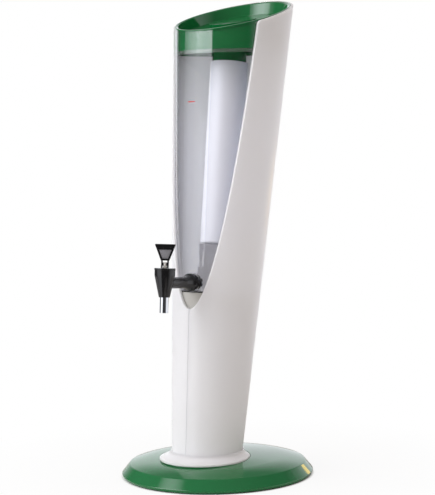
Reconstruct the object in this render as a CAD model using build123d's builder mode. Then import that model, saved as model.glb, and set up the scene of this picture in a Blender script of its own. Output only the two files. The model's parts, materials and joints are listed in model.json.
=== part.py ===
"""Beer tower: weighted round base, leaning conical column in two half shells, and a lift-out clear
vessel with a self-closing tap, a slanted lid and an ice tube.

Millimetres. Origin at the middle of the base on the table top, +Z up, the tap towards -Y.
"""

import os
from math import cos, radians, sin, tan

from build123d import *

# Base
base_diameter = 250.6
base_bevel_width = 10.3
base_crease_height = 17.0
base_crown_height = 29.0
base_shoulder_width = 30.0
base_shoulder_height = 23.6
base_edge_height = 4.5
base_lower_inset = 1.6
base_wall = 3.0
base_crease_round = 3.0
base_edge_round = 1.5
underside_height = 1.5
plate_thickness = 3.5
plate_clearance = 0.8
ballast_edge_room = 22.7
ballast_thickness = 8.0
ballast_chamfer = 1.0
pad_edge_room = 25.7
pad_sink = 1.0
base_screw_edge_room = 15.2
base_screw_count = 6
base_screw_boss_diameter = 8.0
post_circle = 140.0
post_count = 3
post_diameter = 8.0

# Column
column_lean = 7.93
column_taper = 3.3
column_foot_diameter = 90.4
column_foot_height = 22.0
column_offset = 23.6
shell_wall = 3.6
shell_edge_round = 1.4
seam_gap = 0.45
rim_front_height = 574.8
rim_slope = 15.2
cut_apex_height = 222.7
cut_lean = 10.98
cut_bow = 2.9
cut_corner_round = 6.0

# Foot collar, on a flat round seat in the top of the base
collar_diameter = 117.0
collar_offset = 27.1
collar_seat_height = 25.3
collar_overhang = 2.0
collar_gap = 0.9
collar_lip_height = 2.4
collar_height = 10.8
collar_top_wall = 0.8
collar_flare = 2.2
collar_fit = 0.25
collar_steps = 6

# Screw bosses inside the column's foot
boss_diameter = 9.0
boss_height = 18.0
boss_rib = 5.0
boss_inset = 6.5
boss_angles = (45.0, 135.0)

# Vessel and its cradle, along the column's axis from the lowest point of the column's front cut
vessel_gap = 0.6
vessel_wall = 2.0
vessel_floor = 3.0
vessel_above_cut = 20.9
vessel_round = 2.0
cradle_height = 30.0
cradle_wall = 2.5
cradle_top_wall = 3.0
cradle_hole_diameter = 30.0
cradle_flange = 6.0
cradle_fit = 0.4
rest_gap = 0.1
lug_inset = 10.0
lug_height = 14.0

# Lid and ice tube
lid_lip = 1.4
lid_rim_width = 1.2
lid_rim_depth = 0.9
lid_proud = 1.0
lid_lip_overhang = 0.2
lid_wall = 2.6
lid_dish_wall = 1.2
lid_fit = 0.3
lid_skirt_depth = 22.8
lid_dish_depth = 14.0
lid_floor = 2.2
island_diameter = 63.0
island_depth = 6.6
island_slope = 11.0
gasket_height = 4.5
gasket_thickness = 1.4
gasket_fit = 0.15
tube_diameter = 49.0
tube_wall = 2.0
tube_length = 238.0
tube_below_rim = 62.3
tube_floor = 2.5
tube_round = 3.0
neck_fit = 0.3
neck_wall = 2.6
neck_overlap = 18.0
seal_thickness = 2.0
seal_fit = 0.1
seal_groove_width = 2.6
seal_from_neck_end = 6.0

# Tap, in a frame square to the vessel's front wall, as distances out from the wall and up its barrel
tap_above_vessel = 12.8
tap_reach = 55.9
tap_boss_diameter = 24.0
tap_boss_proud = 0.8
tap_boss_inside = 4.2
tap_hole_clearance = 0.25
shank_diameter = 14.4
shank_bore_diameter = 7.0
thread_diameter = 12.0
thread_beyond_nut = 2.5
shank_flare_length = 14.0
flange_diameter = 23.0
flange_thickness = 3.0
washer_thickness = 2.0
nut_diameter = 18.0
nut_thickness = 6.0
nut_notch_count = 8
nut_notch_diameter = 3.0
barrel_diameter = 26.0
barrel_top = 16.2
barrel_straight = 6.5
barrel_bottom = -17.8
barrel_bottom_diameter = 14.0
chamber_diameter = 14.0
chamber_floor = -4.0
cup_seat_depth = 6.0
cup_seat_diameter = 17.0
throat_diameter = 7.6
spout_diameter = 11.0
spout_wall = 0.8
spout_end = -37.4
spout_socket = 9.5
push_fit = 0.05
bonnet_diameter = 26.8
bonnet_thickness = 2.5
bonnet_fit = 0.1

# Valve and lever
stem_diameter = 5.0
stem_fit = 0.1
stem_head_diameter = 7.6
stem_head_height = 2.0
stem_tongue = 3.0
stem_above_pin = 2.4
stem_neck = 3.2
cup_flange_thickness = 1.4
cup_wall = 0.9
cup_base_thickness = 2.4
cup_base_diameter = 11.0
cup_top_diameter = 12.6
pin_diameter = 2.0
pin_fit = 0.05
pin_above_bonnet = 4.9
heel_gap = 0.15
heel_steps = 6
lever_travel = 40.0
stem_travel = 1.6
lever_turn = 32.0
lever_top = 25.2
lever_top_width = 26.4
lever_waist = 4.6
lever_waist_width = 10.4
lever_leg_width = 9.4
lever_thickness = 4.8
lever_corner_round = 1.0
lever_lip = 4.6
lever_lip_proud = 0.8
lever_border = 2.2
lever_pocket = 1.4
lever_fork_width = 5.8
lever_eye_diameter = 4.4
lever_eye_gap = 0.2

# Screws and the holes that they need
screw_head_height = 2.4
screw_hole_clearance = 0.4
screw_pilot_clearance = 0.05
screw_tip_room = 1.0
base_screw_diameter = 3.0
base_screw_head = 5.6
base_screw_bite = 7.0
column_screw_diameter = 3.6
column_screw_head = 7.4
column_screw_bite = 12.0
cradle_screw_diameter = 2.9
cradle_screw_head = 5.6
cradle_screw_bite = 10.0

os.makedirs("parts", exist_ok=True)


# Frames and shared sizes

base_radius = base_diameter / 2
crease_radius = base_radius - base_bevel_width
base_inner_radius = base_radius - base_lower_inset - base_wall
pad_radius = base_inner_radius - pad_edge_room
plate_top = underside_height + plate_thickness
ballast_top = plate_top + ballast_thickness
collar_radius = collar_diameter / 2
recess_radius = collar_radius + collar_gap
collar_top = collar_seat_height + collar_height
foot_radius = column_foot_diameter / 2
lean = radians(column_lean)
taper = radians(column_taper)
front_lean = lean - taper
back_lean = lean + taper
reach_out = 4 * base_diameter

collar_plane = Plane((0, -collar_offset, collar_seat_height))
socket_plane = Plane((0, -collar_offset, column_foot_height))
seat_plane = Plane((0, -column_offset, column_foot_height))
column_plane = Plane(seat_plane.origin, x_dir=(1, 0, 0), z_dir=(0, sin(lean), cos(lean)))
column_side = Plane(column_plane.origin, x_dir=column_plane.y_dir, z_dir=(1, 0, 0))
column_axis = Axis(column_plane.origin, column_plane.z_dir)
front_foot = column_plane.from_local_coords((0, -foot_radius, 0))
back_foot = column_plane.from_local_coords((0, foot_radius, 0))


def column_radius(along):
    """Outside radius of the column at a distance along its axis."""
    return foot_radius + along * tan(taper)


def front_line(height):
    """Y of the column's front line at a height above the table."""
    return front_foot.Y + (height - front_foot.Z) * tan(front_lean)


def back_line(height):
    """Y of the column's back line at a height above the table."""
    return back_foot.Y + (height - back_foot.Z) * tan(back_lean)


def rim_line(across):
    """Height of the slanted rim at a Y position."""
    return rim_front_height + (across - front_line(rim_front_height)) * tan(radians(rim_slope))


rim_plane = Plane(
    origin=(0, front_line(rim_front_height), rim_front_height),
    x_dir=(1, 0, 0),
    z_dir=(0, -sin(radians(rim_slope)), cos(radians(rim_slope))),
)
lid_plane = rim_plane.offset(lid_proud)
column_length = 1.2 * rim_front_height
vessel_inset = shell_wall + vessel_gap
vessel_inner_inset = vessel_inset + vessel_wall
skirt_inset = vessel_inner_inset + lid_fit
cut_along = (cut_apex_height - front_foot.Z) / cos(front_lean) * cos(taper)
vessel_low = cut_along + vessel_above_cut
cradle_top = vessel_low - rest_gap
cradle_low = cradle_top - cradle_height

tap_position = vessel_low + tap_above_vessel
tap_wall_radius = column_radius(tap_position) - vessel_inset
tap_origin = column_plane.from_local_coords((0, -tap_wall_radius, tap_position))
tap_plane = Plane(tap_origin, x_dir=(1, 0, 0), z_dir=(0, sin(front_lean), cos(front_lean)))
wall_plane = Plane(tap_origin, x_dir=(1, 0, 0), z_dir=-tap_plane.y_dir)
shank_side = Plane(tap_origin, x_dir=(1, 0, 0), z_dir=-tap_plane.z_dir)
shank_axis = Axis(tap_origin, wall_plane.z_dir)
barrel_plane = Plane(tap_plane.from_local_coords((0, -tap_reach, 0)), x_dir=(1, 0, 0), z_dir=tap_plane.z_dir)
barrel_side = Plane(barrel_plane.origin, x_dir=(1, 0, 0), z_dir=wall_plane.z_dir)
barrel_axis = Axis(barrel_plane.origin, barrel_plane.z_dir)

bonnet_top = barrel_top + bonnet_thickness
pin_height = bonnet_top + pin_above_bonnet
pin_origin = barrel_plane.from_local_coords((0, 0, pin_height))
lever_across = barrel_plane.x_dir * cos(radians(lever_turn)) + barrel_plane.y_dir * sin(radians(lever_turn))
lever_frame = Plane(pin_origin, x_dir=lever_across, z_dir=barrel_plane.z_dir)
lever_front = Plane(pin_origin, x_dir=lever_frame.x_dir, z_dir=-lever_frame.y_dir)
lever_side = Plane(pin_origin, x_dir=lever_frame.y_dir, z_dir=lever_frame.x_dir)
cam_rate = stem_travel / radians(lever_travel)


# Shared shapes


def turned(plane, axis, outline, mode=Mode.ADD):
    """Turn a closed outline, drawn as radius and length, about an axis."""
    with BuildSketch(plane) as profile:
        with BuildLine():
            Polyline(*outline, close=True)
        make_face()
    revolve(profile.sketch, axis=axis, mode=mode)


def column_cone(inset, low, high, mode=Mode.ADD):
    """Solid cone that follows the column's outside at a fixed inset."""
    low_radius = column_radius(low) - inset
    high_radius = column_radius(high) - inset
    outline = [(0, low), (low_radius, low), (high_radius, high), (0, high)]
    turned(column_side, column_axis, outline, mode)


def rod(plane, radius, low, high, mode=Mode.ADD):
    """Round rod square to a plane, between two distances from it."""
    with BuildSketch(plane.offset(low)) as section:
        Circle(radius)
    extrude(section.sketch, amount=high - low, mode=mode)


def ring(plane, outer, inner, low, high):
    """Flat ring square to a plane."""
    rod(plane, outer, low, high)
    rod(plane, inner, low, high, Mode.SUBTRACT)


def cut_above(plane):
    """Remove everything on the upper side of a plane."""
    rod(plane, reach_out, 0, reach_out, Mode.SUBTRACT)


def cut_below(plane):
    """Remove everything on the lower side of a plane."""
    rod(plane, reach_out, -reach_out, 0, Mode.SUBTRACT)


def ring_spots(radius, angles):
    """Points on a circle, with angles counted from the front towards +X."""
    return [(radius * sin(radians(a)), -radius * cos(radians(a))) for a in angles]


def even_angles(count, start=0.0):
    """Angles of an even ring of pieces."""
    return [start + 360.0 * i / count for i in range(count)]


def both_sides(angles):
    """The same angles on the right and on the left."""
    return [side * a for side in (1, -1) for a in angles]


def shifted(plane, spot):
    """A plane moved within itself to a spot."""
    return plane.shift_origin(plane.from_local_coords((spot[0], spot[1], 0)))


def ribbed_boss(plane, angle, circle, low, high):
    """Round boss with a rib that runs from it straight out past the wall."""
    boss = shifted(plane, ring_spots(circle, [angle])[0])
    rod(boss, boss_diameter / 2, low, high)
    across, back = ring_spots(1.0, [angle])[0]
    outward = plane.x_dir * across + plane.y_dir * back
    rib_plane = Plane(boss.offset(low).origin, x_dir=outward, z_dir=plane.z_dir)
    with BuildSketch(rib_plane) as rib:
        Rectangle(foot_radius / 2, boss_rib, align=(Align.MIN, Align.CENTER))
    extrude(rib.sketch, amount=high - low)


def nearest(section, point):
    """Corner of a section that is nearest to a point."""
    return section.vertices().sort_by_distance((point[0], point[1], 0))[0]


def screw(plane, diameter, head, length):
    """Pan-head screw that goes up from a plane, with its head under it."""
    rod(plane, diameter / 2, 0, length)
    rod(plane, head / 2, -screw_head_height, 0)


def save(piece, name):
    """Label a finished piece and write it."""
    piece.part.label = name
    export_step(piece.part, f"parts/{name}.step")


# Base cover: domed shell with a flat round seat for the foot collar and a socket for the column

base_screw_spots = ring_spots(base_inner_radius - base_screw_edge_room, even_angles(base_screw_count, 30.0))
post_spots = ring_spots(post_circle / 2, even_angles(post_count))
boss_circle = foot_radius - boss_inset
column_screw_spots = ring_spots(boss_circle, both_sides(boss_angles))


def dome_outline(inset, edge_radius, low):
    """Half section of the dome at an inset from its outside, down to a lower height."""
    crown = base_crown_height - inset
    crease = base_crease_height - inset
    reach = crease_radius - inset
    shoulder = (crease_radius - base_shoulder_width, base_shoulder_height - inset)
    top = TangentArc((0, crown), shoulder, tangent=(1, 0))
    TangentArc(shoulder, (reach, crease), tangent=top % 1)
    Polyline(
        (reach, crease),
        (edge_radius, base_edge_height),
        (base_radius - base_lower_inset - inset, low),
        (0, low),
        (0, crown),
    )


with BuildPart() as foot_socket:
    column_cone(-collar_fit, -foot_radius, column_length)
    cut_below(seat_plane)

with BuildPart() as base_cavity:
    with BuildSketch(Plane.XZ):
        with BuildLine():
            dome_outline(base_wall, base_inner_radius, 0)
        make_face()
    revolve(axis=Axis.Z)
    rod(socket_plane, recess_radius + base_wall, -base_wall, base_crown_height, Mode.SUBTRACT)
    for spot in base_screw_spots:
        boss = shifted(Plane.XY, spot)
        rod(boss, base_screw_boss_diameter / 2, plate_top, base_crown_height, Mode.SUBTRACT)
    for spot in post_spots:
        rod(shifted(Plane.XY, spot), post_diameter / 2, ballast_top, base_crown_height, Mode.SUBTRACT)

with BuildPart() as base_cover:
    with BuildSketch(Plane.XZ) as base_section:
        with BuildLine():
            dome_outline(0, base_radius, underside_height)
        make_face()
        fillet(nearest(base_section, (base_radius, base_edge_height)), base_edge_round)
        fillet(nearest(base_section, (crease_radius, base_crease_height)), base_crease_round)
    revolve(axis=Axis.Z)
    add(base_cavity.part, mode=Mode.SUBTRACT)
    rod(socket_plane, collar_radius - collar_overhang, 0, collar_seat_height - column_foot_height)
    rod(collar_plane, recess_radius, 0, base_crown_height, Mode.SUBTRACT)
    add(foot_socket.part, mode=Mode.SUBTRACT)
    for spot in column_screw_spots:
        hole = column_screw_diameter / 2 + screw_hole_clearance
        rod(shifted(seat_plane, spot), hole, -base_wall, 0, Mode.SUBTRACT)
    for spot in base_screw_spots:
        pilot = base_screw_diameter / 2 + screw_pilot_clearance
        pilot_end = plate_top + base_screw_bite + screw_tip_room
        rod(shifted(Plane.XY, spot), pilot, plate_top, pilot_end, Mode.SUBTRACT)
save(base_cover, "base_cover")

# Base plate, ballast, non-slip pad and the screws of the base

with BuildPart() as base_plate:
    rod(Plane.XY, base_inner_radius - plate_clearance, underside_height, plate_top)
    rod(Plane.XY, pad_radius + push_fit, underside_height, underside_height + pad_sink, Mode.SUBTRACT)
    for spot in base_screw_spots:
        hole = base_screw_diameter / 2 + screw_hole_clearance
        sink = base_screw_head / 2 + screw_hole_clearance
        sink_top = underside_height + screw_head_height
        rod(shifted(Plane.XY, spot), hole, underside_height, plate_top, Mode.SUBTRACT)
        rod(shifted(Plane.XY, spot), sink, underside_height, sink_top, Mode.SUBTRACT)
save(base_plate, "base_plate")

with BuildPart() as ballast_weight:
    rod(Plane.XY, base_inner_radius - ballast_edge_room, plate_top, ballast_top)
    chamfer(ballast_weight.edges().filter_by(GeomType.CIRCLE), ballast_chamfer)
save(ballast_weight, "ballast_weight")

with BuildPart() as rubber_pad:
    rod(Plane.XY, pad_radius, 0, underside_height + pad_sink)
save(rubber_pad, "rubber_pad")

with BuildPart() as base_screws:
    for spot in base_screw_spots:
        under_head = shifted(Plane.XY, spot).offset(underside_height + screw_head_height)
        grip = plate_thickness - screw_head_height
        screw(under_head, base_screw_diameter, base_screw_head, grip + base_screw_bite)
save(base_screws, "base_screws")

with BuildPart() as column_screws:
    for spot in column_screw_spots:
        under_head = shifted(seat_plane, spot).offset(-base_wall)
        screw(under_head, column_screw_diameter, column_screw_head, base_wall + column_screw_bite)
save(column_screws, "column_screws")

# Foot collar: rises in a hollow curve from its lip to the leaning column

collar_top_centre = (front_line(collar_top) + back_line(collar_top)) / 2
collar_top_radius = (back_line(collar_top) - front_line(collar_top)) / 2 + collar_fit + collar_top_wall

with BuildPart() as foot_collar:
    rod(collar_plane, collar_radius, 0, collar_lip_height)
    for step in range(collar_steps + 1):
        up = step / collar_steps
        ease = 1 - (1 - up) ** collar_flare
        height = collar_lip_height + up * (collar_height - collar_lip_height)
        centre = -collar_offset + ease * (collar_top_centre + collar_offset)
        with BuildSketch(Plane((0, centre, collar_seat_height + height))):
            Circle(collar_radius + ease * (collar_top_radius - collar_radius))
    loft()
    column_cone(-collar_fit, -foot_radius, column_length, Mode.SUBTRACT)
save(foot_collar, "foot_collar")

# Column: the outside of one half, thickened inwards so that the cut edge stays square to the wall

cut_slope = tan(radians(cut_lean))
cut_apex = (front_line(cut_apex_height), cut_apex_height)
cut_rise = (rim_line(cut_apex[0]) - cut_apex_height) / (1 - cut_slope * tan(radians(rim_slope)))
cut_corner = (cut_apex[0] + cut_rise * cut_slope, cut_apex_height + cut_rise)
cut_middle = (
    (cut_apex[0] + cut_corner[0]) / 2 + cut_bow * cos(radians(cut_lean)),
    (cut_apex[1] + cut_corner[1]) / 2 - cut_bow * sin(radians(cut_lean)),
)
lug_circle = column_radius(cradle_low) - lug_inset
lug_low = cradle_low - lug_height

with BuildPart() as column_form:
    column_cone(0, -foot_radius, column_length)
    with BuildSketch(Plane.YZ) as kept:
        with BuildLine():
            ThreePointArc(cut_apex, cut_middle, cut_corner)
            Polyline(
                cut_corner,
                (reach_out, rim_line(reach_out)),
                (reach_out, -reach_out),
                (-reach_out, -reach_out),
                (-reach_out, cut_apex_height),
                cut_apex,
            )
        make_face()
        fillet(nearest(kept, cut_corner), cut_corner_round)
    extrude(amount=reach_out, both=True, mode=Mode.INTERSECT)
    split(bisect_by=Plane.YZ.offset(seam_gap / 2), keep=Keep.TOP)

with BuildPart() as column_bosses:
    for angle in boss_angles:
        ribbed_boss(seat_plane, angle, boss_circle, 0, boss_height)
        ribbed_boss(column_plane, angle, lug_circle, lug_low, cradle_low)
    column_cone(shell_wall / 2, -foot_radius, column_length, Mode.INTERSECT)

with BuildPart() as column_shell_right:
    thicken(column_form.faces().filter_by(GeomType.CONE)[0], amount=-shell_wall)
    cut_below(seat_plane)
    outside = column_shell_right.faces().filter_by(GeomType.CONE).sort_by(SortBy.AREA)[-1]
    free_edges = outside.edges().filter_by(lambda e: e.center().X > seam_gap and e.center().Z > collar_top)
    fillet(free_edges, shell_edge_round)
    add(column_bosses.part)
    for spot in ring_spots(boss_circle, boss_angles):
        pilot = column_screw_diameter / 2 + screw_pilot_clearance
        rod(shifted(seat_plane, spot), pilot, 0, column_screw_bite + screw_tip_room, Mode.SUBTRACT)
    for spot in ring_spots(lug_circle, boss_angles):
        hole = cradle_screw_diameter / 2 + screw_hole_clearance
        rod(shifted(column_plane, spot), hole, lug_low, cradle_low, Mode.SUBTRACT)
save(column_shell_right, "column_shell_right")

with BuildPart() as column_shell_left:
    mirror(column_shell_right.part, about=Plane.YZ)
save(column_shell_left, "column_shell_left")

# Cradle that carries the vessel

lug_spots = ring_spots(lug_circle, both_sides(boss_angles))

with BuildPart() as vessel_cradle:
    column_cone(vessel_inset, cradle_low, cradle_top)
    column_cone(shell_wall + cradle_fit, cradle_low, cradle_low + cradle_flange)
    inner_top = cradle_top - cradle_top_wall
    column_cone(vessel_inset + cradle_wall, cradle_low, inner_top, Mode.SUBTRACT)
    for spot in lug_spots:
        boss_high = cradle_low + cradle_screw_bite + 2 * screw_tip_room
        rod(shifted(column_plane, spot), boss_diameter / 2, cradle_low, boss_high)
    for spot in lug_spots:
        pilot = cradle_screw_diameter / 2 + screw_pilot_clearance
        pilot_end = cradle_low + cradle_screw_bite + screw_tip_room
        rod(shifted(column_plane, spot), pilot, cradle_low, pilot_end, Mode.SUBTRACT)
    rod(column_plane, cradle_hole_diameter / 2, inner_top, cradle_top, Mode.SUBTRACT)
save(vessel_cradle, "vessel_cradle")

with BuildPart() as cradle_screws:
    for spot in lug_spots:
        under_head = shifted(column_plane, spot).offset(lug_low)
        screw(under_head, cradle_screw_diameter, cradle_screw_head, lug_height + cradle_screw_bite)
save(cradle_screws, "cradle_screws")

# Vessel with a flat boss for the tap

thread_radius = thread_diameter / 2
tap_hole = thread_radius + tap_hole_clearance

with BuildPart() as beer_vessel:
    column_cone(vessel_inset, vessel_low, column_length)
    fillet(beer_vessel.edges().filter_by(GeomType.CIRCLE).sort_by(Axis.Z)[0], vessel_round)
    column_cone(vessel_inner_inset, vessel_low + vessel_floor, column_length, Mode.SUBTRACT)
    cut_above(lid_plane.offset(-lid_lip))
    rod(wall_plane, tap_boss_diameter / 2, -tap_boss_inside, tap_boss_proud)
    rod(wall_plane, tap_hole, -tap_boss_inside, tap_boss_proud, Mode.SUBTRACT)
save(beer_vessel, "beer_vessel")

# Lid: slanted lip, skirt inside the vessel, dished top with a round island, and a neck for the tube

axis_to_rim = (lid_plane.origin - column_plane.origin).dot(lid_plane.z_dir)
rim_along = axis_to_rim / column_plane.z_dir.dot(lid_plane.z_dir)
island_plane = Plane(
    origin=column_plane.from_local_coords((0, 0, rim_along)),
    x_dir=(1, 0, 0),
    z_dir=(0, -sin(radians(island_slope)), cos(radians(island_slope))),
)
skirt_plane = Plane.XY.offset(rim_front_height - lid_skirt_depth)
tongue_plane = skirt_plane.offset(-gasket_height)
tongue_inset = skirt_inset + gasket_thickness
hollow_inset = skirt_inset + lid_wall
dish_inset = skirt_inset + lid_dish_wall
neck_radius = tube_diameter / 2 - tube_wall - neck_fit
tube_high = rim_along - tube_below_rim
tube_low = tube_high - tube_length
neck_low = tube_high - neck_overlap
seal_along = neck_low + seal_from_neck_end
seal_middle = tube_diameter / 2 - tube_wall - seal_fit - seal_thickness / 2

with BuildPart() as lid_lip_form:
    column_cone(vessel_inset - lid_lip_overhang, 0, column_length)
    cut_above(lid_plane)
    cut_below(lid_plane.offset(-lid_lip))

with BuildPart() as dish_form:
    column_cone(dish_inset, 0, column_length)
    cut_below(lid_plane.offset(-lid_dish_depth))
    rod(island_plane, island_diameter / 2, -2 * lid_dish_depth, -island_depth, Mode.SUBTRACT)

with BuildPart() as underside_form:
    column_cone(hollow_inset, 0, column_length)
    cut_above(lid_plane.offset(-lid_dish_depth - lid_floor))
    rod(island_plane, island_diameter / 2 - lid_wall, -2 * lid_dish_depth, -island_depth - lid_floor)

with BuildPart() as neck_form:
    ring(column_plane, neck_radius, neck_radius - neck_wall, neck_low, column_length)
    cut_above(island_plane.offset(-island_depth - lid_floor / 2))
    groove_floor = seal_middle - seal_thickness / 2 - push_fit
    groove = [
        (groove_floor, seal_along - seal_groove_width / 2),
        (tube_diameter / 2, seal_along - seal_groove_width / 2),
        (tube_diameter / 2, seal_along + seal_groove_width / 2),
        (groove_floor, seal_along + seal_groove_width / 2),
    ]
    turned(column_side, column_axis, groove, Mode.SUBTRACT)

with BuildPart() as tongue_form:
    column_cone(tongue_inset, 0, column_length)
    cut_below(tongue_plane)
    cut_above(skirt_plane)

with BuildPart() as lid:
    column_cone(skirt_inset, 0, column_length)
    cut_below(skirt_plane)
    cut_above(lid_plane)
    add(lid_lip_form.part)
    add(tongue_form.part)
    add(dish_form.part, mode=Mode.SUBTRACT)
    add(underside_form.part, mode=Mode.SUBTRACT)
    flats = lid.faces().filter_by(GeomType.PLANE)
    rim_face = flats.sort_by(Axis(lid_plane.origin, lid_plane.z_dir))[-1]
    rim_slant = dish_inset - vessel_inset + lid_lip_overhang - lid_rim_width
    chamfer(rim_face.inner_wires()[0].edges(), rim_slant, lid_rim_depth, reference=rim_face)
    add(neck_form.part)
save(lid, "lid")

with BuildPart() as lid_gasket:
    column_cone(vessel_inner_inset + gasket_fit, 0, column_length)
    column_cone(tongue_inset - push_fit, 0, column_length, Mode.SUBTRACT)
    cut_below(tongue_plane)
    cut_above(skirt_plane)
save(lid_gasket, "lid_gasket")

with BuildPart() as tube_seal:
    with BuildSketch(column_side):
        with Locations((seal_middle, seal_along)):
            Circle(seal_thickness / 2)
    revolve(axis=column_axis)
save(tube_seal, "tube_seal")

with BuildPart() as ice_tube:
    rod(column_plane, tube_diameter / 2, tube_low, tube_high)
    fillet(ice_tube.edges().filter_by(GeomType.CIRCLE).sort_by(Axis.Z)[0], tube_round)
    rod(column_plane, tube_diameter / 2 - tube_wall, tube_low + tube_floor, tube_high, Mode.SUBTRACT)
save(ice_tube, "ice_tube")

# Tap: shank through the vessel's wall, barrel with the valve chamber, washers and nut

flange_low = tap_boss_proud + washer_thickness
flange_high = flange_low + flange_thickness
inner_washer_end = -tap_boss_inside - washer_thickness
nut_end = inner_washer_end - nut_thickness
flange_radius = flange_diameter / 2
shank_radius = shank_diameter / 2
flare_step = (flange_radius - shank_radius) / 4
cup_seat = barrel_top - cup_seat_depth
spout_top = barrel_bottom + spout_socket

with BuildPart() as tap_body:
    shank_outline = [
        (0, nut_end - thread_beyond_nut),
        (thread_radius, nut_end - thread_beyond_nut),
        (thread_radius, flange_low),
        (flange_radius, flange_low),
        (flange_radius, flange_high),
        (shank_radius + 2 * flare_step, flange_high + shank_flare_length / 5),
        (shank_radius + flare_step, flange_high + shank_flare_length / 2),
        (shank_radius, flange_high + shank_flare_length),
        (shank_radius, tap_reach),
        (0, tap_reach),
    ]
    turned(shank_side, shank_axis, shank_outline)
    barrel_outline = [
        (0, barrel_bottom),
        (barrel_bottom_diameter / 2, barrel_bottom),
        (barrel_diameter / 2, barrel_top - barrel_straight),
        (barrel_diameter / 2, barrel_top),
        (0, barrel_top),
    ]
    turned(barrel_side, barrel_axis, barrel_outline)
    rod(wall_plane, shank_bore_diameter / 2, nut_end - thread_beyond_nut, tap_reach, Mode.SUBTRACT)
    rod(barrel_plane, chamber_diameter / 2, chamber_floor, barrel_top, Mode.SUBTRACT)
    rod(barrel_plane, cup_seat_diameter / 2, cup_seat, barrel_top, Mode.SUBTRACT)
    rod(barrel_plane, throat_diameter / 2, barrel_bottom, chamber_floor, Mode.SUBTRACT)
    rod(barrel_plane, spout_diameter / 2 + push_fit, barrel_bottom, spout_top, Mode.SUBTRACT)
save(tap_body, "tap_body")

with BuildPart() as tap_outer_washer:
    ring(wall_plane, flange_radius, tap_hole, tap_boss_proud, flange_low)
save(tap_outer_washer, "tap_outer_washer")

with BuildPart() as tap_inner_washer:
    ring(wall_plane, nut_diameter / 2, tap_hole, inner_washer_end, -tap_boss_inside)
save(tap_inner_washer, "tap_inner_washer")

with BuildPart() as tap_lock_nut:
    ring(wall_plane, nut_diameter / 2, thread_radius + push_fit, nut_end, inner_washer_end)
    for spot in ring_spots(nut_diameter / 2, even_angles(nut_notch_count)):
        rod(shifted(wall_plane, spot), nut_notch_diameter / 2, nut_end, inner_washer_end, Mode.SUBTRACT)
save(tap_lock_nut, "tap_lock_nut")

with BuildPart() as spout_tube:
    ring(barrel_plane, spout_diameter / 2, spout_diameter / 2 - spout_wall, spout_end, spout_top)
save(spout_tube, "spout_tube")

with BuildPart() as tap_bonnet:
    rod(barrel_plane, bonnet_diameter / 2, barrel_top, bonnet_top)
    plug_radius = cup_seat_diameter / 2 - bonnet_fit
    rod(barrel_plane, plug_radius, cup_seat + cup_flange_thickness, barrel_top)
    stem_hole = stem_diameter / 2 + stem_fit
    rod(barrel_plane, stem_hole, cup_seat, bonnet_top, Mode.SUBTRACT)
save(tap_bonnet, "tap_bonnet")

# Valve: silicone cup on the throat, stem, and the lever whose heel lifts the stem

cup_base_top = chamber_floor + cup_base_thickness
cup_base_radius = cup_base_diameter / 2
cup_top_radius = cup_top_diameter / 2
half_lever = lever_thickness / 2
half_leg = lever_leg_width / 2
heel_reach = pin_above_bonnet - heel_gap

with BuildPart() as seat_cup:
    cup_outline = [
        (0, chamber_floor),
        (cup_base_radius, chamber_floor),
        (cup_base_radius, cup_base_top),
        (cup_top_radius, cup_seat),
        (cup_seat_diameter / 2 - push_fit, cup_seat),
        (cup_seat_diameter / 2 - push_fit, cup_seat + cup_flange_thickness),
        (cup_top_radius - cup_wall, cup_seat + cup_flange_thickness),
        (cup_base_radius - cup_wall, cup_base_top),
        (0, cup_base_top),
    ]
    turned(barrel_side, barrel_axis, cup_outline)
save(seat_cup, "seat_cup")

with BuildPart() as valve_stem:
    rod(barrel_plane, stem_head_diameter / 2, cup_base_top, cup_base_top + stem_head_height)
    rod(barrel_plane, stem_diameter / 2, cup_base_top, pin_height + stem_above_pin)
    with BuildSketch(lever_front):
        with Locations((stem_tongue, 0), (-stem_tongue, 0)):
            Rectangle(stem_tongue, 2 * stem_neck)
    extrude(amount=stem_diameter, both=True, mode=Mode.SUBTRACT)
    rod(lever_side, pin_diameter / 2 + pin_fit, -stem_diameter, stem_diameter, Mode.SUBTRACT)
save(valve_stem, "valve_stem")


def lever_half_width(height):
    """Half width of the paddle at a height above the pin."""
    share = (height - lever_waist) / (lever_top - lever_waist)
    return (lever_waist_width + share * (lever_top_width - lever_waist_width)) / 2


def paddle(low, high, inset):
    """Face of the paddle between two heights, drawn in from its sides."""
    low_half = lever_half_width(low) - inset
    high_half = lever_half_width(high) - inset
    Polygon((-low_half, low), (low_half, low), (high_half, high), (-high_half, high), align=None)


def heel_point(turn):
    """Point of the heel that rides on the bonnet when the lever is turned by an angle."""
    reach = heel_reach + cam_rate * turn
    back = -reach * sin(turn) - cam_rate * cos(turn)
    up = -reach * cos(turn) + cam_rate * sin(turn)
    return (back, up)


heel_turns = [radians(lever_travel) * step / heel_steps for step in range(heel_steps + 1)]
heel_points = [heel_point(turn) for turn in heel_turns]
lip_low = lever_top - lever_lip

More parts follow.
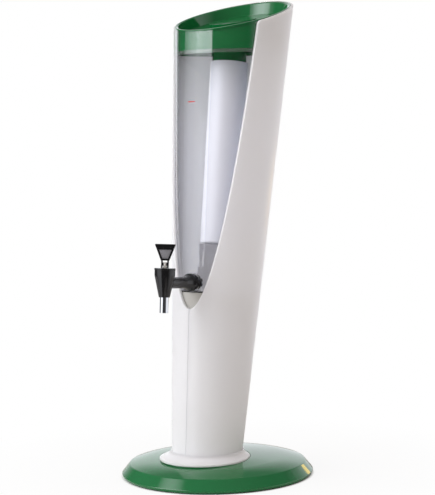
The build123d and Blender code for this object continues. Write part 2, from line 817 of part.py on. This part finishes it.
with BuildPart() as tap_lever:
    with BuildSketch(lever_front.offset(-half_lever)) as paddle_face:
        paddle(lever_waist, lever_top, 0)
        fillet(paddle_face.vertices().group_by(Axis.Y)[-1], lever_corner_round)
    extrude(amount=lever_thickness)
    with BuildSketch(lever_front.offset(half_lever)) as lip_face:
        paddle(lip_low, lever_top, 0)
        fillet(lip_face.vertices().group_by(Axis.Y)[-1], lever_corner_round)
    extrude(amount=lever_lip_proud)
    with BuildSketch(lever_front.offset(half_lever - lever_pocket)):
        paddle(lever_waist + lever_border, lip_low - lever_border, lever_border)
    extrude(amount=lever_thickness, mode=Mode.SUBTRACT)
    with BuildSketch(lever_side):
        with BuildLine():
            Spline(*heel_points)
            Polyline(
                heel_points[-1],
                (-half_lever, 0),
                (-half_lever, lever_waist),
                (half_lever, lever_waist),
                (half_lever, -heel_reach),
                heel_points[0],
            )
        make_face()
    extrude(amount=half_leg, both=True)
    with BuildSketch(lever_front):
        with Locations((0, lever_waist)):
            Rectangle(lever_fork_width, lever_top, align=(Align.CENTER, Align.MAX))
    extrude(amount=lever_top, both=True, mode=Mode.SUBTRACT)
    for side in (1, -1):
        eye = lever_side.offset(side * (stem_tongue / 2 + lever_eye_gap))
        rod(eye, lever_eye_diameter / 2, 0, side * (lever_fork_width - stem_tongue) / 2)
    rod(lever_side, pin_diameter / 2 + push_fit, -half_leg, half_leg, Mode.SUBTRACT)
save(tap_lever, "tap_lever")

with BuildPart() as lever_pin:
    rod(lever_side, pin_diameter / 2, -half_leg, half_leg)
save(lever_pin, "lever_pin")
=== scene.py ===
"""Looks of the beer tower: white column shells, green base and lid, clear vessel and a black tap."""

import json
from math import cos, radians, sin, tan

import bmesh
import bpy
from mathutils import Matrix, Vector


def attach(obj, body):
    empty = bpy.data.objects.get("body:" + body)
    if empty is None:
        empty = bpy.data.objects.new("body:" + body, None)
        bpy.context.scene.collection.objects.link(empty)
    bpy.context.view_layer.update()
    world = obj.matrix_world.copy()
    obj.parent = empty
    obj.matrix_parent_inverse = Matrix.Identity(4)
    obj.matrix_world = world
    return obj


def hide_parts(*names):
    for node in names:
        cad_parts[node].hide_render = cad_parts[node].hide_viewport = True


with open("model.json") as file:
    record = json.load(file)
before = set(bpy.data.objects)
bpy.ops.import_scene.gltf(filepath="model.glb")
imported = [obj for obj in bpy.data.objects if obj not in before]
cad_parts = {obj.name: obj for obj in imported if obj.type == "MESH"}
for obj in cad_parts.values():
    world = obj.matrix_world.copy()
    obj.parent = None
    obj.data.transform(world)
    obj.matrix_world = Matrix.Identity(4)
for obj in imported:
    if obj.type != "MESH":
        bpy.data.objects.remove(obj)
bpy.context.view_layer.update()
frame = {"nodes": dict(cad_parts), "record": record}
scene = bpy.context.scene
nodes = frame["nodes"]
behaviour = frame["record"]["behaviour"]
carrier = {node: body for body, members in behaviour["bodies"].items() for node in members}
joints = {joint["name"]: joint for joint in behaviour["joints"]}


def srgb(code):
    """A hex colour as the linear values that the shader takes."""
    values = [int(code[i:i + 2], 16) / 255 for i in (1, 3, 5)]
    return [v / 12.92 if v <= 0.04045 else ((v + 0.055) / 1.055) ** 2.4 for v in values] + [1.0]


def add_node(tree, kind, inputs=(), **settings):
    """Add a shader node, set its options, and fill or link its inputs."""
    node = tree.nodes.new(kind)
    for name, value in settings.items():
        setattr(node, name, value)
    for name, value in dict(inputs).items():
        if isinstance(value, bpy.types.NodeSocket):
            tree.links.new(value, node.inputs[name])
        else:
            node.inputs[name].default_value = value
    return node


cloud_mm, smear_mm = 60, 9
smear_low, smear_high = 0.3, 0.7


def moulding(name, colour, shade, gloss, grain_mm, relief_mm, **shader):
    """A moulded, cast or plated skin: two near shades in soft clouds, uneven gloss and a fine grain.

    The real grain is finer than the picture can show, so it is drawn about a millimetre wide or more.
    """
    made = bpy.data.materials.new(name)
    made.use_nodes = True
    tree = made.node_tree
    skin = tree.nodes["Principled BSDF"]
    for socket, value in shader.items():
        skin.inputs[socket.replace("_", " ")].default_value = value
    place = add_node(tree, "ShaderNodeTexCoord").outputs["Object"]
    clouds, smears, grain = (
        add_node(tree, "ShaderNodeTexNoise", {"Vector": place, "Scale": 1000 / size_mm, "Detail": detail})
        for size_mm, detail in ((cloud_mm, 2.0), (smear_mm, 4.0), (grain_mm, 2.0))
    )
    tint = add_node(
        tree, "ShaderNodeMix", {"Factor": clouds.outputs[0], 6: srgb(colour), 7: srgb(shade)},
        data_type="RGBA",
    )
    shiny, dull = gloss
    polish = add_node(
        tree, "ShaderNodeMapRange",
        {
            "Value": smears.outputs[0], "From Min": smear_low, "From Max": smear_high,
            "To Min": shiny, "To Max": dull,
        },
    )
    relief = add_node(tree, "ShaderNodeBump", {"Height": grain.outputs[0], "Distance": relief_mm / 1000})
    tree.links.new(tint.outputs[2], skin.inputs["Base Color"])
    tree.links.new(polish.outputs[0], skin.inputs["Roughness"])
    tree.links.new(relief.outputs[0], skin.inputs["Normal"])
    return made


# Green ABS, polished in the mould: deep colour under a sharp clear reflection
green_abs = moulding(
    "polished_green_abs", "#17733e", "#136a34", gloss=(0.05, 0.09), grain_mm=3.0, relief_mm=0.002, IOR=1.52,
)
# White ABS with a fine satin from the mould: soft wide highlights, and a little light comes through the wall
white_abs = moulding(
    "satin_white_abs", "#f3f4f8", "#f0f1f5", gloss=(0.30, 0.36), grain_mm=1.6, relief_mm=0.004, IOR=1.5,
    Subsurface_Weight=1.0, Subsurface_Radius=(1.0, 1.0, 1.0), Subsurface_Scale=0.005,
)
# Natural polypropylene, moulded: slightly yellow and soft
cradle_pp = moulding(
    "moulded_natural_polypropylene", "#bdbbb5", "#b5b3ad", gloss=(0.42, 0.5), grain_mm=1.5, relief_mm=0.01,
    IOR=1.49,
)
# Clear SAN from a polished mould: sharp reflections and a faint grey body
clear_san = moulding(
    "polished_clear_san", "#ffffff", "#fdfdfe", gloss=(0.01, 0.03), grain_mm=12.0, relief_mm=0.004, IOR=1.5,
    Transmission_Weight=1.0,
)
# White polypropylene, frosted in the mould: an even, soft white with a dull sheen
frosted_pp = moulding(
    "frosted_white_polypropylene", "#f3f5fe", "#eef0fa", gloss=(0.36, 0.42), grain_mm=1.5, relief_mm=0.006,
    IOR=1.49,
)
# Black acetal, moulded: dark with a broad sheen
black_pom = moulding(
    "moulded_black_acetal", "#1b1b1c", "#171718", gloss=(0.12, 0.18), grain_mm=1.2, relief_mm=0.003, IOR=1.48,
)
# Natural acetal, turned: pale and waxy
white_pom = moulding(
    "turned_natural_acetal", "#e6e4e0", "#dfddd8", gloss=(0.32, 0.38), grain_mm=1.2, relief_mm=0.004,
    IOR=1.48,
)
# Chrome plate on brass: mirror bright
chrome = moulding(
    "chrome_plated_brass", "#dcdde0", "#d6d7db", gloss=(0.05, 0.09), grain_mm=2.0, relief_mm=0.001,
    Metallic=1.0,
)
# Zinc-plated steel: pale and slightly dull
zinc = moulding(
    "zinc_plated_steel", "#b9bbbd", "#aeb1b4", gloss=(0.26, 0.36), grain_mm=1.2, relief_mm=0.006,
    Metallic=1.0,
)
# Cast iron, as cast: dark and coarse
iron = moulding(
    "cast_iron", "#4c4c4d", "#434344", gloss=(0.55, 0.7), grain_mm=1.5, relief_mm=0.05, Metallic=1.0,
)
# Silicone rubber, moulded: pale and dull
silicone = moulding(
    "moulded_pale_silicone", "#d3d8d2", "#ccd1cb", gloss=(0.45, 0.55), grain_mm=1.2, relief_mm=0.006,
    IOR=1.41,
)
# Clear silicone, moulded: it takes the green of the lid behind it
clear_silicone = moulding(
    "moulded_clear_silicone", "#f4f7f4", "#eef2ee", gloss=(0.12, 0.2), grain_mm=1.2, relief_mm=0.004,
    IOR=1.41, Transmission_Weight=0.94,
)
# Black rubber, moulded: matt
black_rubber = moulding(
    "moulded_black_rubber", "#1d1d1d", "#191919", gloss=(0.65, 0.78), grain_mm=1.2, relief_mm=0.02,
    IOR=1.5,
)
# Black polypropylene with a spark-eroded grain: matt and even
plate_pp = moulding(
    "grained_black_polypropylene", "#242424", "#1f1f1f", gloss=(0.48, 0.58), grain_mm=1.0, relief_mm=0.02,
    IOR=1.49,
)
# Grey polycarbonate sheet with a satin face: even and soft
grey_pc = moulding(
    "satin_grey_polycarbonate", "#8e8e93", "#87878c", gloss=(0.3, 0.4), grain_mm=1.0, relief_mm=0.003,
    IOR=1.58,
)
# Red ink, screen printed: flat and a little uneven
red_ink = moulding(
    "screen_printed_red_ink", "#cf5450", "#c24a46", gloss=(0.4, 0.5), grain_mm=0.8, relief_mm=0.004,
    IOR=1.5,
)

finishes = {
    green_abs: ["base_cover", "lid"],
    white_abs: ["column_shell_left", "column_shell_right", "foot_collar"],
    cradle_pp: ["vessel_cradle"],
    clear_san: ["beer_vessel"],
    frosted_pp: ["ice_tube"],
    black_pom: ["tap_body", "tap_bonnet", "tap_lever", "tap_lock_nut"],
    white_pom: ["valve_stem"],
    chrome: ["spout_tube"],
    zinc: ["base_screws", "column_screws", "cradle_screws", "lever_pin"],
    iron: ["ballast_weight"],
    silicone: ["tube_seal", "seat_cup"],
    clear_silicone: ["lid_gasket"],
    black_rubber: ["rubber_pad", "tap_outer_washer", "tap_inner_washer"],
    plate_pp: ["base_plate"],
}
for finish, names in finishes.items():
    for name in names:
        nodes[name].data.materials.clear()
        nodes[name].data.materials.append(finish)


def place_piece(shape, name, finish, body, crease):
    """Turn a finished bmesh into a piece that moves with a body, shaded smooth up to a crease angle."""
    mesh = bpy.data.meshes.new(name)
    shape.to_mesh(mesh)
    shape.free()
    mesh.shade_smooth()
    mesh.set_sharp_from_angle(angle=crease)
    mesh.materials.append(finish)
    piece = bpy.data.objects.new(name, mesh)
    scene.collection.objects.link(piece)
    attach(piece, body)
    return piece


weld, flat_angle, edge_angle = 1e-6, radians(0.5), radians(35)
mould_crease, trim_crease = radians(40), radians(30)


def soften(name, radius_mm):
    """Stand a copy of a CAD piece in its place, with its sharp edges rounded as they leave the mould."""
    shape = bmesh.new()
    shape.from_mesh(nodes[name].data)
    bmesh.ops.remove_doubles(shape, verts=shape.verts, dist=weld)
    bmesh.ops.dissolve_limit(shape, angle_limit=flat_angle, verts=shape.verts, edges=shape.edges)
    sharp = [edge for edge in shape.edges if edge.is_manifold and edge.calc_face_angle() > edge_angle]
    bmesh.ops.bevel(
        shape, geom=sharp, offset=radius_mm / 1000, offset_type="OFFSET", affect="EDGES", segments=3,
        profile=0.5, clamp_overlap=True, material=-1,
    )
    finish = nodes[name].data.materials[0]
    piece = place_piece(shape, name + "_moulding", finish, carrier[name], mould_crease)
    piece.modifiers.new("true_faces", "WEIGHTED_NORMAL").keep_sharp = True
    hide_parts(name)


soften("tap_lever", 0.35)
soften("tap_bonnet", 0.4)
soften("tap_body", 0.4)
soften("spout_tube", 0.2)
soften("vessel_cradle", 0.6)

# Blank plate in the lever's recess, drawn in the lever's own frame: across, up, and out of its face
hinge = joints["lever_tilt"]
across, up = Vector(hinge["axis"]), Vector(joints["stem_lift"]["axis"])
lever_frame = Matrix((across, up, across.cross(up))).transposed().to_4x4()
plate_low, plate_high = 0.0070, 0.0182
half_low, half_high = 0.0037, 0.0081
recess_floor, plate_thick, plate_round = 0.0010, 0.0005, 0.0002
shape = bmesh.new()
corners = [(-half_low, plate_low), (half_low, plate_low), (half_high, plate_high), (-half_high, plate_high)]
face = shape.faces.new([shape.verts.new((x, y, recess_floor)) for x, y in corners])
raised = bmesh.ops.extrude_face_region(shape, geom=[face])["geom"]
top = [part for part in raised if isinstance(part, bmesh.types.BMVert)]
bmesh.ops.translate(shape, verts=top, vec=(0, 0, plate_thick))
rim = [edge for edge in shape.edges if edge.verts[0] in top and edge.verts[1] in top]
bmesh.ops.bevel(
    shape, geom=rim, offset=plate_round, offset_type="OFFSET", affect="EDGES", segments=2, profile=0.5,
    clamp_overlap=True, material=-1,
)
bmesh.ops.transform(shape, matrix=Matrix.Translation(hinge["pos_m"]) @ lever_frame, verts=shape.verts)
bmesh.ops.recalc_face_normals(shape, faces=shape.faces)
place_piece(shape, "lever_plate", grey_pc, "lever", trim_crease)

# Short fill line printed on the front of the vessel, spun round the column's axis
column_foot, column_lean = (0, -0.0236, 0.0220), radians(-7.93)
foot_radius, spread, vessel_inset = 0.0452, tan(radians(3.3)), 0.0042
line_along, line_width, ink_thick = 0.4585, 0.0014, 0.00008
line_start, line_turn, line_steps = radians(-101.5), radians(10.0), 10
shape = bmesh.new()
ends = []
for along in (line_along, line_along + line_width):
    radius = foot_radius + along * spread - vessel_inset + ink_thick
    ends.append(shape.verts.new((radius * cos(line_start), radius * sin(line_start), along)))
edge = shape.edges.new(ends)
bmesh.ops.spin(
    shape, geom=ends + [edge], cent=(0, 0, 0), axis=(0, 0, 1), angle=line_turn, steps=line_steps,
    use_merge=False, use_duplicate=False,
)
bmesh.ops.recalc_face_normals(shape, faces=shape.faces)
bmesh.ops.solidify(shape, geom=shape.faces[:], thickness=ink_thick)
# Solidify adds the rim's faces in no fixed order, so they are sorted to give the same mesh each run
sort_way = Vector((1, 2, 3))
shape.faces.sort(key=lambda face: face.calc_center_median().dot(sort_way))
column_frame = Matrix.Translation(column_foot) @ Matrix.Rotation(column_lean, 4, "X")
bmesh.ops.transform(shape, matrix=column_frame, verts=shape.verts)
bmesh.ops.recalc_face_normals(shape, faces=shape.faces)
place_piece(shape, "fill_line", red_ink, "vessel", trim_crease)

# The clear vessel lets lamps and soft light through to what is behind it
tree = clear_san.node_tree
rays = add_node(tree, "ShaderNodeLightPath").outputs
passed = add_node(tree, "ShaderNodeBsdfTransparent", {"Color": srgb("#ffffff")})
lamp_light = add_node(
    tree, "ShaderNodeMath", {0: rays["Is Shadow Ray"], 1: rays["Is Diffuse Ray"]}, operation="MAXIMUM"
)
mix = add_node(
    tree, "ShaderNodeMixShader",
    {"Fac": lamp_light.outputs[0], 1: tree.nodes["Principled BSDF"].outputs[0], 2: passed.outputs[0]},
)
tree.links.new(mix.outputs[0], tree.nodes["Material Output"].inputs["Surface"])
# Its faint grey shows where the eye looks along the wall
body_tint = add_node(tree, "ShaderNodeVolumeAbsorption", {"Color": srgb("#808088"), "Density": 7.0})
tree.links.new(body_tint.outputs[0], tree.nodes["Material Output"].inputs["Volume"])


def seen_share(tree, rays):
    """How far a ray is the camera's own, straight or through the clear vessel: 1 or 0."""
    unmirrored = add_node(tree, "ShaderNodeMath", {0: rays["Glossy Depth"], 1: 0.5}, operation="LESS_THAN")
    through = add_node(
        tree, "ShaderNodeMath", {0: rays["Is Transmission Ray"], 1: unmirrored.outputs[0]},
        operation="MULTIPLY",
    )
    seen = add_node(
        tree, "ShaderNodeMath", {0: rays["Is Camera Ray"], 1: through.outputs[0]}, operation="MAXIMUM"
    )
    return seen.outputs[0]


# Floor: white to the camera with a weak shadow by the base and a dark line under its edge, and plain paper to
# everything else. It ends short in front, where the black tap mirrors a dim room
floor_corners = [(-1.3, -0.6, 0), (0.5, -0.6, 0), (0.7, 0.7, 0), (-1.3, 0.7, 0)]
shadow_start, shadow_end, white_by_base = 0.12, 0.4, 0.88
contact_start, contact_end = 0.1225, 0.127
floor_mesh = bpy.data.meshes.new("floor")
floor_mesh.from_pydata(floor_corners, [], [(0, 1, 2, 3)])
floor = bpy.data.objects.new("floor", floor_mesh)
scene.collection.objects.link(floor)
floor_paper = bpy.data.materials.new("floor_paper")
floor_paper.use_nodes = True
tree = floor_paper.node_tree
paper = tree.nodes["Principled BSDF"]
paper.inputs["Base Color"].default_value = srgb("#f4f4f4")
paper.inputs["Roughness"].default_value = 0.9
rays = add_node(tree, "ShaderNodeLightPath").outputs
seen = seen_share(tree, rays)
place = add_node(tree, "ShaderNodeTexCoord").outputs["Object"]
away = add_node(tree, "ShaderNodeVectorMath", {0: place}, operation="LENGTH").outputs["Value"]
white_share = add_node(
    tree, "ShaderNodeMapRange",
    {"Value": away, "From Min": shadow_start, "From Max": shadow_end, "To Min": white_by_base, "To Max": 1.0},
)
contact = add_node(
    tree, "ShaderNodeMapRange", {"Value": away, "From Min": contact_start, "From Max": contact_end}
)
whitened = add_node(
    tree, "ShaderNodeMath", {0: white_share.outputs[0], 1: contact.outputs[0]}, operation="MULTIPLY"
)
share = add_node(tree, "ShaderNodeMath", {0: seen, 1: whitened.outputs[0]}, operation="MULTIPLY")
glow = add_node(tree, "ShaderNodeEmission", {"Color": srgb("#ffffff"), "Strength": 1.0})
mix = add_node(
    tree, "ShaderNodeMixShader", {"Fac": share.outputs[0], 1: paper.outputs[0], 2: glow.outputs[0]}
)
tree.links.new(mix.outputs[0], tree.nodes["Material Output"].inputs["Surface"])
floor_mesh.materials.append(floor_paper)

# World: white where it is seen. To gloss it is a dim room with a white backdrop behind the tower, and a tall
# window in front on the left that has one sharp edge and is brightest at its top. As light it is an even,
# slightly warm room
world = bpy.data.worlds.new("studio")
scene.world = world
world.use_nodes = True
tree = world.node_tree
rays = add_node(tree, "ShaderNodeLightPath").outputs
seen = seen_share(tree, rays)
heading = add_node(tree, "ShaderNodeTexCoord").outputs["Generated"]
ways = {
    "behind": (0.233, 0.972, 0.0),
    "leftward": (-1.0, 0.026, 0.0),
    "window": (-0.3142, -0.939, 0.139),
    "window_top": (-0.45, -0.696, 0.559),
}
reach = {"height": add_node(tree, "ShaderNodeSeparateXYZ", {0: heading}).outputs["Z"]}
for name, way in ways.items():
    along = add_node(tree, "ShaderNodeVectorMath", {0: heading, 1: Vector(way)}, operation="DOT_PRODUCT")
    reach[name] = along.outputs["Value"]
# Each level goes from its first value to its second while a ray's reach along a way passes through the fade
levels = {
    "behind": ("behind", (0.0, 0.5), (0.0, 1.0)),
    "backdrop": ("height", (0.3, 0.58), (1.32, 0.3)),
    "room": ("height", (0.1, 0.7), (0.06, 0.45)),
    "ceiling": ("height", (0.0, 1.0), (0.5, 0.7)),
    "window_edge": ("leftward", (0.0, 0.03), (0.0, 1.0)),
    "pane": ("window", (0.64, 0.93), (0.0, 1.75)),
    "hot_spot": ("window_top", (0.91, 0.975), (0.0, 5.5)),
}
level = {}
for name, (way, (fade_in, fade_out), (first, second)) in levels.items():
    ramp = add_node(
        tree, "ShaderNodeMapRange",
        {"Value": reach[way], "From Min": fade_in, "From Max": fade_out, "To Min": first, "To Max": second},
    )
    level[name] = ramp.outputs[0]
glossed = add_node(
    tree, "ShaderNodeMix", {"Factor": level["behind"], 2: level["room"], 3: level["backdrop"]},
    data_type="FLOAT",
)
window = add_node(tree, "ShaderNodeMath", {0: level["pane"], 1: level["hot_spot"]}, operation="ADD")
shine = add_node(
    tree, "ShaderNodeMath", {0: window.outputs[0], 1: level["window_edge"], 2: glossed.outputs[0]},
    operation="MULTIPLY_ADD",
)
light = add_node(tree, "ShaderNodeBackground", {"Color": srgb("#fff5f0"), "Strength": level["ceiling"]})
sweep = add_node(tree, "ShaderNodeBackground", {"Color": srgb("#f8faff"), "Strength": shine.outputs[0]})
white = add_node(tree, "ShaderNodeBackground", {"Color": srgb("#ffffff"), "Strength": 1.0})
mirrored = add_node(
    tree, "ShaderNodeMath", {0: rays["Is Glossy Ray"], 1: rays["Is Transmission Ray"]}, operation="MAXIMUM"
)
lit = add_node(
    tree, "ShaderNodeMixShader", {"Fac": mirrored.outputs[0], 1: light.outputs[0], 2: sweep.outputs[0]}
)
mix = add_node(tree, "ShaderNodeMixShader", {"Fac": seen, 1: lit.outputs[0], 2: white.outputs[0]})
tree.links.new(mix.outputs[0], tree.nodes["World Output"].inputs["Surface"])


def soft_box(name, place, target, width, height, power, colour):
    """A rectangular studio lamp that faces a target."""
    lamp = bpy.data.lights.new(name, "AREA")
    lamp.shape = "RECTANGLE"
    lamp.size = width
    lamp.size_y = height
    lamp.energy = power
    lamp.color = srgb(colour)[:3]
    holder = bpy.data.objects.new(name, lamp)
    scene.collection.objects.link(holder)
    aim = (Vector(target) - Vector(place)).to_track_quat("-Z", "Y")
    holder.matrix_world = Matrix.Translation(place) @ aim.to_matrix().to_4x4()
    return holder


# A broad window-like light on the left and a little in front, in two parts that face the tower's axis level.
# The world draws what gloss shows of it
lamp_target, daylight = (0, 0, 1.6), "#f4f9ff"
key = soft_box(
    "key", place=(-0.749, -1.854, 1.6), target=lamp_target, width=1.42, height=3.0, power=28.6,
    colour=daylight,
)
wing = soft_box(
    "wing", place=(-1.714, -1.030, 1.6), target=lamp_target, width=1.2, height=3.0, power=13.9,
    colour=daylight,
)
key.visible_glossy = False
wing.visible_glossy = False
# A small warm lamp behind, which only shows as a glint on the base's right edge
glint = soft_box(
    "glint", place=(0.075, 1.136, 0.255), target=(0.113, 0.039, 0.012), width=0.14, height=0.12, power=0.17,
    colour="#ffd03c",
)
glint.visible_camera = False
glint.visible_diffuse = False
glint.visible_transmission = False

# Camera at the photograph's viewpoint, for a frame of 435 by 495
camera_place = (1.2295, -1.6602, 0.4578)
camera_turn, camera_tilt, camera_roll = radians(36.327), radians(85.546), radians(-1.404)
lens = bpy.data.cameras.new("camera")
lens.sensor_fit = "VERTICAL"
lens.sensor_height = 24.0
lens.lens = 77.357
camera = bpy.data.objects.new("camera", lens)
scene.collection.objects.link(camera)
camera.matrix_world = (
    Matrix.Translation(camera_place)
    @ Matrix.Rotation(camera_turn, 4, "Z")
    @ Matrix.Rotation(camera_tilt, 4, "X")
    @ Matrix.Rotation(camera_roll, 4, "Z")
)
scene.camera = camera
scene.view_settings.view_transform = "Standard"
# Light goes through the vessel's walls many times before it leaves the white column
scene.cycles.max_bounces = 24
scene.cycles.diffuse_bounces = 12
scene.cycles.transparent_max_bounces = 48
